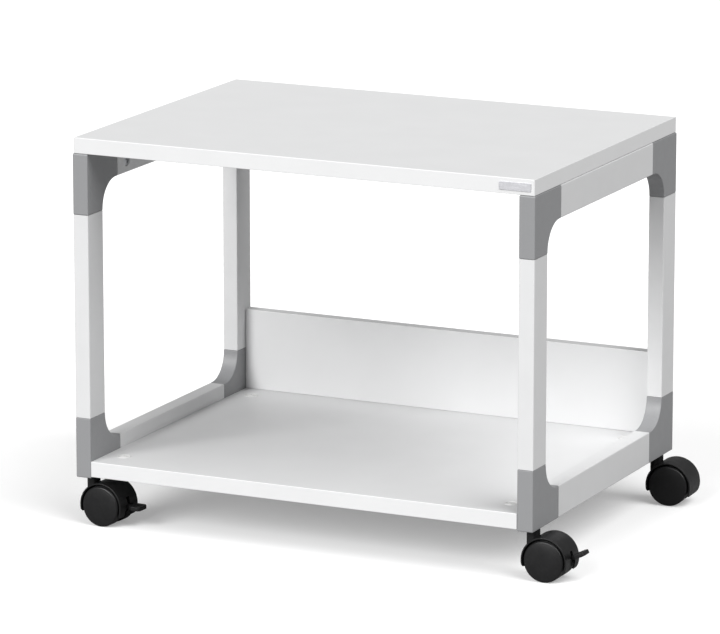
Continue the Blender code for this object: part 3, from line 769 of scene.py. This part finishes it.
def top_cam_mesh(radius, depth):
    """A cam seen from its face: a softened rim, a shallow dish, the bent slot that takes the bolt's head
    and a cross slot."""
    path = [
        (-depth, 0.0),
        (-depth, radius),
        (0.0, radius),
        (0.0, radius - 0.9 * MM),
        (-0.35 * MM, radius - 1.2 * MM),
        (-0.35 * MM, 0.0),
    ]
    soft = [0.0, 0.3 * MM, 0.3 * MM, 0.1 * MM, 0.1 * MM, 0.0]
    mesh = new_mesh(turned(softened(path, soft), 64))
    slot = crescent(3.1 * MM, 5.9 * MM, math.radians(105), math.radians(265), 4.5 * MM)
    return cut(mesh, slot, *cross_slot(2.2 * MM, 0.6 * MM, 2.2 * MM))


class STAND_OT_fittings(Operator):
    """Make the shelf's fittings and the cams under the top, and finish the bolts"""

    bl_idname = "stand.fittings"
    bl_label = "Fittings and bolts"

    def execute(self, context):
        finish = finishes(context.scene)
        low, high = corners("shelf_fitting_front_left")
        housing = shelf_fitting_mesh((high[1] - low[1]) / 2, high[2] - low[2])
        low, high = corners("top_cam_front_left")
        cam = top_cam_mesh((high[2] - low[2]) / 2, high[0] - low[0])
        for place in PLACES:
            low, high = corners(f"shelf_fitting_{place}")
            middle = (low + high) / 2
            add_piece(f"shelf_fitting_{place}", housing, finish["fitting"], "stand", (*middle[:2], high[2]))
            low, high = corners(f"top_cam_{place}")
            middle = (low + high) / 2
            inwards = -SIDES[place.split("_")[1]]
            face = high[0] if inwards > 0 else low[0]
            basis = np.array([(0, -1, 0), (0, 0, 1), (inwards, 0, 0)], float)
            add_piece(f"top_cam_{place}", cam, finish["zinc"], "stand", (face, middle[1], middle[2]), basis)
            for kind in ("shelf_bolt", "top_bolt"):
                self.add_bolt(f"{kind}_{place}", finish)
        return {"FINISHED"}

    def add_bolt(self, name, finish):
        """A bolt: a round head, a thin neck and a shank with turned grooves for its thread."""
        low, high = corners(name)
        upright = name.startswith("top")
        along = 2 if upright else 0
        reach, radius = high[along] - low[along], (high[1] - low[1]) / 2
        head, neck = 2.2 * MM, 5.5 * MM
        count = int((reach - neck) / (0.8 * MM))
        start = neck + np.arange(count) * (reach - neck - 0.6 * MM) / count
        root, crest = np.full(count, radius - 0.45 * MM), np.full(count, radius)
        thread = np.stack([start, root, start + 0.35 * MM, crest], -1)
        path = [(0, 0), (0, radius), (head, radius), (head, radius * 0.6), (neck, radius * 0.6)]
        path = np.concatenate([path, thread.reshape(-1, 2), [(reach, radius * 0.7), (reach, 0)]])
        middle = (low + high) / 2
        inwards = name.endswith("left")
        if upright:
            basis, origin = UPRIGHT, (middle[0], middle[1], low[2])
        else:
            sign = -1.0 if inwards else 1.0
            basis = np.array([(0, 1, 0), (0, 0, sign), (sign, 0, 0)])
            origin = (high[0] if inwards else low[0], middle[1], middle[2])
        add_piece(name, new_mesh(turned(path, 24)), finish["steel"], "stand", origin, basis)


class STAND_OT_label(Operator):
    """Make the blank plate on the front edge of the top"""

    bl_idname = "stand.label"
    bl_label = "Label plate"

    def execute(self, context):
        low, high = corners("label_plate")
        thick = high[1] - low[1]
        outline = rounded(rectangle(low[0], high[0], low[2], high[2]), 0.9 * MM)
        edge = 0.12 * MM
        border, field = 0.7 * MM, 0.14 * MM
        insets = (edge, 0.3 * edge, 0.0, 0.0, 0.3 * edge, edge, border, border + field)
        heights = (0.0, 0.3 * edge, edge, thick - edge, thick - 0.3 * edge, thick, thick, thick - field)
        shape = skin(stacked(outline, insets, heights))
        finish = finishes(context.scene)["label"]
        add_piece("label_plate", new_mesh(shape), finish, "stand", (0, high[1], 0), ON_EDGE)
        return {"FINISHED"}


# Casters


def caster_axes(place):
    """Origin on the floor under the swivel, and rows along the heading, across it and up."""
    swivel = np.array(JOINTS[f"swivel_{place}"]["pos_m"])
    axle = np.array(JOINTS[f"roll_{place}_a"]["pos_m"])
    heading = unit(axle - swivel * (1, 1, 0) - (0, 0, axle[2]))
    across = np.array([-heading[1], heading[0], 0.0])
    return swivel * (1, 1, 0), np.array([heading, across, (0, 0, 1)])


def reach_along(node, place):
    """Lowest and highest corner of a caster's node in that caster's own axes."""
    origin, basis = caster_axes(place)
    points = np.array([v.co for v in frame["nodes"][node].data.vertices]) - origin
    points = points @ basis.T
    return points.min(0), points.max(0)


WHEEL_LOW, WHEEL_HIGH = reach_along("caster_rear_right_wheel_b", "rear_right")
HOOD_HIGH = reach_along("caster_rear_right_hood", "rear_right")[1]
WHEEL_RADIUS = (WHEEL_HIGH[2] - WHEEL_LOW[2]) / 2
TRAIL = (WHEEL_LOW[0] + WHEEL_HIGH[0]) / 2
HUB_FACE, OUTER_FACE = WHEEL_LOW[1], WHEEL_HIGH[1]
HOOD_RADIUS = HOOD_HIGH[0] - TRAIL
HOOD_HALF = HOOD_HIGH[1]
HOOD_TOP = HOOD_HIGH[2]
AXLE_RADIUS = 3.0 * MM
HOOD_FROM, HOOD_TO = math.radians(-25.0), math.radians(199.0)


def wheel_shape(settings):
    """A wheel turned round its axle. The outer face falls by the dome's height times (r / R) to the
    third power, then turns over a shoulder, a quarter of an ellipse, to a fine groove beside the tread.
    The inner side is hollow between its rim and its hub."""
    radius, outer = WHEEL_RADIUS, OUTER_FACE
    step = np.linspace(0.0, 0.90, 22)
    face = np.stack([outer - settings.dome * step**3, radius * step], -1)
    turn = np.linspace(0.0, math.pi / 2, 13)[1:]
    wide, tall = 2.8 * MM, radius - face[-1, 1]
    shoulder = face[-1] + np.stack([wide * (np.cos(turn) - 1), tall * np.sin(turn)], -1)
    edge = shoulder[-1, 0] - 0.3 * MM
    inner = HUB_FACE + 0.8 * MM
    back = softened(
        [
            (edge, radius),
            (edge - 0.1 * MM, radius - 0.3 * MM),
            (edge - 0.4 * MM, radius - 0.3 * MM),
            (edge - 0.5 * MM, radius),
            (inner, radius),
            (inner, radius - 3.2 * MM),
            (inner + 6.0 * MM, radius - 4.0 * MM),
            (inner + 6.0 * MM, 8.0 * MM),
            (inner, 6.5 * MM),
            (HUB_FACE, 6.0 * MM),
            (HUB_FACE, AXLE_RADIUS + GAP),
            (outer - 3.2 * MM, AXLE_RADIUS + GAP),
            (outer - 3.2 * MM, 0.0),
        ],
        np.array([0, 0, 0, 0, 1.0, 0.4, 0.8, 0.8, 0.2, 0.2, 0.2, 0.2, 0]) * MM,
    )
    return turned(np.concatenate([face, shoulder, back]), settings.segments)


class STAND_OT_wheels(Operator):
    """Make the eight wheels of the casters"""

    bl_idname = "stand.wheels"
    bl_label = "Wheels"

    def execute(self, context):
        settings, finish = context.scene.stand_casters, finishes(context.scene)
        mesh = new_mesh(wheel_shape(settings))
        centres = np.array([face.center for face in mesh.polygons])
        radius = np.hypot(centres[:, 0], centres[:, 1])
        tread = (radius > WHEEL_RADIUS * 0.95) & (centres[:, 2] < OUTER_FACE - 4.6 * MM)
        for place in PLACES:
            origin, axes = caster_axes(place)
            centre = origin + (TRAIL, 0.0, WHEEL_RADIUS) @ axes
            for wheel, side in (("a", -1.0), ("b", 1.0)):
                basis = np.array([axes[0] * side, axes[2], axes[1] * side])
                body = f"wheel_{place}_{wheel}"
                name = f"caster_{place}_wheel_{wheel}"
                piece = add_piece(name, mesh, finish["wheel"], body, centre, basis)
                piece.data.polygons.foreach_set("material_index", tread.astype(np.int32))
        return {"FINISHED"}


def guard_shape(settings):
    """The curved guard over both wheels. Its section is a rounded bar across the wheels, and it is carried
    round the axle from one end angle to the other. Within a corner's radius c of an end, at c (1 - cos a)
    from it, the bar is narrower on each side by c (1 - sin a)."""
    wall, corner = settings.guard_wall, settings.guard_corner
    section = rounded(rectangle(HOOD_RADIUS - wall, HOOD_RADIUS, -HOOD_HALF, HOOD_HALF), 0.55 * MM, 4)
    turn = np.linspace(0.0, math.pi / 2, 9)
    from_end, narrower = corner * (1 - np.cos(turn)), corner * (1 - np.sin(turn))
    angle = np.concatenate(
        [
            HOOD_FROM + from_end / HOOD_RADIUS,
            np.linspace(HOOD_FROM + corner / HOOD_RADIUS, HOOD_TO - corner / HOOD_RADIUS, 61)[1:-1],
            HOOD_TO - from_end[::-1] / HOOD_RADIUS,
        ]
    )
    less = np.concatenate([narrower, np.zeros(59), narrower[::-1]])
    radius = np.broadcast_to(section[:, 0], (len(angle), len(section)))
    across = section[:, 1] - np.sign(section[:, 1]) * less[:, None]
    cosine, sine = np.cos(angle)[:, None], np.sin(angle)[:, None]
    return skin(np.stack([TRAIL + radius * cosine, across, WHEEL_RADIUS + radius * sine], -1))


def hood_mesh(settings, braked):
    """A caster's body: the guard, the web between the wheels that holds the axle, and the round neck over
    them, bored for the stem and, with a brake, slotted for its lever."""
    web, wall = settings.web, settings.guard_wall
    angle = np.linspace(HOOD_FROM + 0.04, HOOD_TO - 0.04, 49)
    rim = (HOOD_RADIUS - wall / 2) * np.stack([np.cos(angle), np.sin(angle)], -1)
    angle = np.linspace(HOOD_TO + 0.2, HOOD_FROM - 0.2 + math.tau, 13)
    hub = 8.5 * MM * np.stack([np.cos(angle), np.sin(angle)], -1)
    plate = slab(np.concatenate([rim, hub]), -web, web, 0.5 * MM, 3)
    plate = turned_to(plate, ON_EDGE, (TRAIL, 0.0, WHEEL_RADIUS))
    neck_low, radius = 31.0 * MM, settings.neck
    path = [(neck_low, 0.0), (neck_low, radius), (HOOD_TOP, radius), (HOOD_TOP, 0.0)]
    neck = new_mesh(turned(softened(path, [0, 0.5 * MM, 0.7 * MM, 0]), 64))
    hollow = HOOD_RADIUS - wall * 0.7
    for side in (-1, 1):
        room = rod(web * 0.9, HOOD_HALF + 5 * MM, hollow, CRISP, 96)
        neck = cut(neck, turned_to(room, [(1, 0, 0), (0, 0, side), (0, side, 0)], (TRAIL, 0, WHEEL_RADIUS)))
    mesh = join(new_mesh(guard_shape(settings)), plate)
    mesh = carved(mesh, mesh_shape(neck), "UNION")
    stem = rod(HOOD_TOP - 10.7 * MM, HOOD_TOP + MM, STEM_BORE, CRISP, 40)
    axle = rod(-8 * MM, 8 * MM, AXLE_RADIUS + GAP, CRISP, 32)
    axle = turned_to(axle, ALONG_Y, (TRAIL, 0, WHEEL_RADIUS))
    mesh = cut(mesh, stem, axle)
    if not braked:
        return mesh
    low_z, outside = 4.0 * MM, TRAIL + HOOD_RADIUS + 4.0 * MM
    slot = block((LEVER_PIVOT - 5.5 * MM, -3 * MM, low_z), (outside, 3 * MM, 36.5 * MM), 0.4 * MM)
    mouth = block((TRAIL + HOOD_RADIUS - 6.0 * MM, -8 * MM, low_z), (outside, 8 * MM, 27.5 * MM), 1.5 * MM)
    pin = turned_to(rod(-6 * MM, 6 * MM, LEVER_BORE, CRISP, 24), ALONG_Y, (LEVER_PIVOT, 0, WHEEL_RADIUS))
    return cut(mesh, slot, mouth, pin)


def mesh_shape(mesh):
    """Points and faces of a mesh."""
    points = np.empty(len(mesh.vertices) * 3, np.float32)
    mesh.vertices.foreach_get("co", points)
    return points.reshape(-1, 3), [list(face.vertices) for face in mesh.polygons]


def lever_pivot():
    """How far a lever's pivot is from the swivel axis, along the heading."""
    origin, basis = caster_axes(BRAKED[0])
    return float(basis[0] @ (np.array(JOINTS[f"brake_{BRAKED[0]}"]["pos_m"]) - origin))


LEVER_PIVOT = lever_pivot()
LEVER_SWING = math.radians(abs(np.subtract(*JOINTS[f"brake_{BRAKED[0]}"]["range_deg"])))


class STAND_OT_hoods(Operator):
    """Make the four caster bodies, with their stems and axles"""

    bl_idname = "stand.hoods"
    bl_label = "Caster bodies"

    def execute(self, context):
        settings, finish = context.scene.stand_casters, finishes(context.scene)
        meshes = {braked: hood_mesh(settings, braked) for braked in (True, False)}
        stem = new_mesh(self.stem_shape())
        for place in PLACES:
            origin, axes = caster_axes(place)
            body = f"caster_{place}"
            name = f"caster_{place}"
            add_piece(name + "_hood", meshes[place in BRAKED], finish["caster"], body, origin, axes)
            add_piece(name + "_stem", stem, finish["steel"], body, origin, axes)
            half = reach_along(name + "_axle", place)[1][1]
            bar = turned_to(rod(-half, half, AXLE_RADIUS, 0.4 * MM), ALONG_Y, (TRAIL, 0, WHEEL_RADIUS))
            add_piece(name + "_axle", new_mesh(bar), finish["steel"], body, origin, axes)
        return {"FINISHED"}

    def stem_shape(self):
        """The stem: its foot in the neck, a collar under the connector, and a groove near its tip."""
        low, high = corners("caster_rear_right_stem")
        collar_low, collar_high = FRAME_BOTTOM - 1.5 * MM, FRAME_BOTTOM - GAP
        radius, wide, groove = 5.0 * MM, (high[0] - low[0]) / 2, high[2] - 6.0 * MM
        path = [
            (low[2], 0.0),
            (low[2], radius),
            (collar_low, radius),
            (collar_low, wide),
            (collar_high, wide),
            (collar_high, radius),
            (groove, radius),
            (groove, radius - 0.8 * MM),
            (groove + 2.0 * MM, radius - 0.8 * MM),
            (groove + 2.0 * MM, radius),
            (high[2], radius),
            (high[2], 0.0),
        ]
        soft = [0, 0.5, 0.1, 0.3, 0.3, 0.1, 0.2, 0.2, 0.2, 0.2, 1.0, 0]
        return turned(softened(path, np.array(soft) * MM), 48)


def lever_mesh():
    """A brake lever in its own axes, from its pivot: a wide tread plate with three ribs, an arm with a
    round eye, and a tail that hangs behind the guard's opening."""
    reach, half_wide, half_thick, plate_from = 28.5 * MM, 10.0 * MM, 2.5 * MM, 12.5 * MM
    outline = rounded(rectangle(plate_from, reach, -half_wide, half_wide), 4.5 * MM, 8)
    mesh = new_mesh(slab(outline, -half_thick, half_thick, 0.9 * MM, 4))
    for step in range(3):
        middle = plate_from + (5.0 + 3.6 * step) * MM
        bar = rounded(rectangle(middle - 0.6 * MM, middle + 0.6 * MM, -6.5 * MM, 6.5 * MM), 0.55 * MM, 4)
        mesh = join(mesh, slab(bar, 0.0, half_thick + 0.55 * MM, 0.4 * MM, 3))
    arm_half = 2.6 * MM
    angle = np.linspace(math.radians(60), math.radians(300), 25)
    eye = 2.8 * MM * np.stack([np.cos(angle), np.sin(angle)], -1)
    arm = np.concatenate([eye, [(plate_from + 3 * MM, -1.7 * MM), (plate_from + 3 * MM, 1.7 * MM)]])
    mesh = join(mesh, turned_to(slab(arm, -arm_half, arm_half, 0.3 * MM, 3), ON_EDGE))
    down = np.array([-math.sin(LEVER_SWING), -math.cos(LEVER_SWING)])
    beside = np.array([-down[1], down[0]])
    start = 3.6 * MM * beside
    tail = [start - 1.4 * MM * beside - 1.5 * MM * down, start - 1.2 * MM * beside + 12 * MM * down]
    tail += [start + 1.2 * MM * beside + 12 * MM * down, start + 1.6 * MM * beside - 1.5 * MM * down]
    shape = slab(rounded(tail, 0.8 * MM, 4), -arm_half, arm_half, 0.4 * MM, 3)
    mesh = join(mesh, turned_to(shape, ON_EDGE))
    return cut(mesh, turned_to(rod(-6 * MM, 6 * MM, LEVER_BORE, CRISP, 24), ALONG_Y))


class STAND_OT_levers(Operator):
    """Make the brake levers of the front casters and their pins"""

    bl_idname = "stand.levers"
    bl_label = "Brake levers"

    def execute(self, context):
        finish = finishes(context.scene)
        mesh = lever_mesh()
        for place in BRAKED:
            origin, axes = caster_axes(place)
            lift = -math.radians(JOINTS[f"brake_{place}"]["range_deg"][0])
            tilt = np.array(
                [(math.cos(lift), 0, math.sin(lift)), (0, 1, 0), (-math.sin(lift), 0, math.cos(lift))]
            )
            pivot = origin + (LEVER_PIVOT, 0.0, WHEEL_RADIUS) @ axes
            add_piece(f"brake_lever_{place}", mesh, finish["caster"], f"lever_{place}", pivot, tilt @ axes)
            low, high = reach_along(f"brake_pin_{place}", place)
            bar = turned_to(rod(low[1], high[1], (high[2] - low[2]) / 2, 0.2 * MM), ALONG_Y)
            add_piece(f"brake_pin_{place}", new_mesh(bar), finish["steel"], f"caster_{place}", pivot, axes)
        return {"FINISHED"}


# Stage


class STAND_OT_stage(Operator):
    """Make the floor, the lights, the surround and the camera"""

    bl_idname = "stand.stage"
    bl_label = "Stage"

    def execute(self, context):
        settings = context.scene.stand_stage
        self.make_floor(settings)
        self.make_world(context.scene, settings)
        self.make_light("key", settings.key, bearing=-18.0, height=27.0, softness=34.0)
        self.make_light("side", settings.side, bearing=75.0, height=50.0, softness=50.0)
        self.make_camera(context.scene, settings)
        context.scene.view_settings.view_transform = "Standard"
        return {"FINISHED"}

    def make_floor(self, settings):
        """A level square, wide enough for the camera to see nothing else. Seen directly it has a slight
        glow, and what it throws back at the stand is darker."""
        reach = 12.0
        corner = np.array([(-1, -1, 0), (1, -1, 0), (1, 1, 0), (-1, 1, 0)], float) * reach
        mesh = bpy.data.meshes.new("floor")
        mesh.from_pydata(corner.tolist(), [], [(0, 1, 2, 3)])
        material, tree, shader, _ = base_material("plain_floor", settings.floor, 0.9)
        shader.inputs["Specular IOR Level"].default_value = 0.1
        shader.inputs["Emission Color"].default_value = (1.0, 1.0, 1.0, 1.0)
        shader.inputs["Emission Strength"].default_value = settings.glow
        dull = tree.nodes.new("ShaderNodeBsdfDiffuse")
        dull.inputs["Color"].default_value = (*settings.bounce, 1.0)
        path = tree.nodes.new("ShaderNodeLightPath")
        mix = tree.nodes.new("ShaderNodeMixShader")
        tree.links.new(path.outputs["Is Camera Ray"], mix.inputs["Fac"])
        tree.links.new(dull.outputs["BSDF"], mix.inputs[1])
        tree.links.new(shader.outputs["BSDF"], mix.inputs[2])
        tree.links.new(mix.outputs["Shader"], tree.nodes["Material Output"].inputs["Surface"])
        mesh.materials.append(material)
        floor = bpy.data.objects.new("floor", mesh)
        bpy.context.scene.collection.objects.link(floor)

    def make_world(self, scene, settings):
        world = bpy.data.worlds.new("surround")
        world.use_nodes = True
        background = world.node_tree.nodes["Background"]
        background.inputs["Color"].default_value = (1.0, 1.0, 1.0, 1.0)
        background.inputs["Strength"].default_value = settings.sky
        scene.world = world

    def make_light(self, name, strength, bearing, height, softness):
        """A far, soft lamp: its bearing to the right of the front, its height and its width, in degrees.
        A white surface that faces it is as bright as its strength."""
        data = bpy.data.lights.new(name, "SUN")
        data.angle = math.radians(softness)
        data.energy = math.pi * strength
        lamp = bpy.data.objects.new(name, data)
        lamp.rotation_euler = (math.radians(90.0 - height), 0.0, math.radians(bearing))
        bpy.context.scene.collection.objects.link(lamp)

    def make_camera(self, scene, settings):
        data = bpy.data.cameras.new("camera")
        data.lens = settings.lens
        data.sensor_width = 36.0
        data.clip_end = 60.0
        camera = bpy.data.objects.new("camera", data)
        camera.location = settings.eye
        camera.rotation_euler = (math.pi / 2 - settings.pitch, 0.0, settings.yaw)
        scene.collection.objects.link(camera)
        scene.camera = camera


OPERATORS = (
    STAND_OT_boards,
    STAND_OT_tubes,
    STAND_OT_connectors,
    STAND_OT_fittings,
    STAND_OT_label,
    STAND_OT_wheels,
    STAND_OT_hoods,
    STAND_OT_levers,
    STAND_OT_stage,
)
SETTINGS = {
    "stand_boards": BoardSettings,
    "stand_frame": FrameSettings,
    "stand_casters": CasterSettings,
    "stand_stage": StageSettings,
}


class STAND_PT_looks(Panel):
    """The steps that build the stand's looks, in order, and their settings."""

    bl_label = "Printer Stand"
    bl_idname = "STAND_PT_looks"
    bl_space_type = "VIEW_3D"
    bl_region_type = "UI"
    bl_category = "Stand"

    def draw(self, context):
        for operator in OPERATORS:
            self.layout.operator(operator.bl_idname)
        for name in SETTINGS:
            box = self.layout.box()
            group = getattr(context.scene, name)
            for key in group.bl_rna.properties.keys():
                if key not in ("rna_type", "name"):
                    box.prop(group, key)


def register():
    for cls in (*SETTINGS.values(), *OPERATORS, STAND_PT_looks):
        bpy.utils.register_class(cls)
    for name, group in SETTINGS.items():
        setattr(bpy.types.Scene, name, PointerProperty(type=group))


def unregister():
    for name in SETTINGS:
        delattr(bpy.types.Scene, name)
    for cls in reversed((*SETTINGS.values(), *OPERATORS, STAND_PT_looks)):
        bpy.utils.unregister_class(cls)


def main():
    register()
    bpy.ops.stand.boards()
    bpy.ops.stand.tubes()
    bpy.ops.stand.connectors()
    bpy.ops.stand.fittings()
    bpy.ops.stand.label()
    bpy.ops.stand.wheels()
    bpy.ops.stand.hoods()
    bpy.ops.stand.levers()
    bpy.ops.stand.stage()


if __name__ == "__main__":
    main()
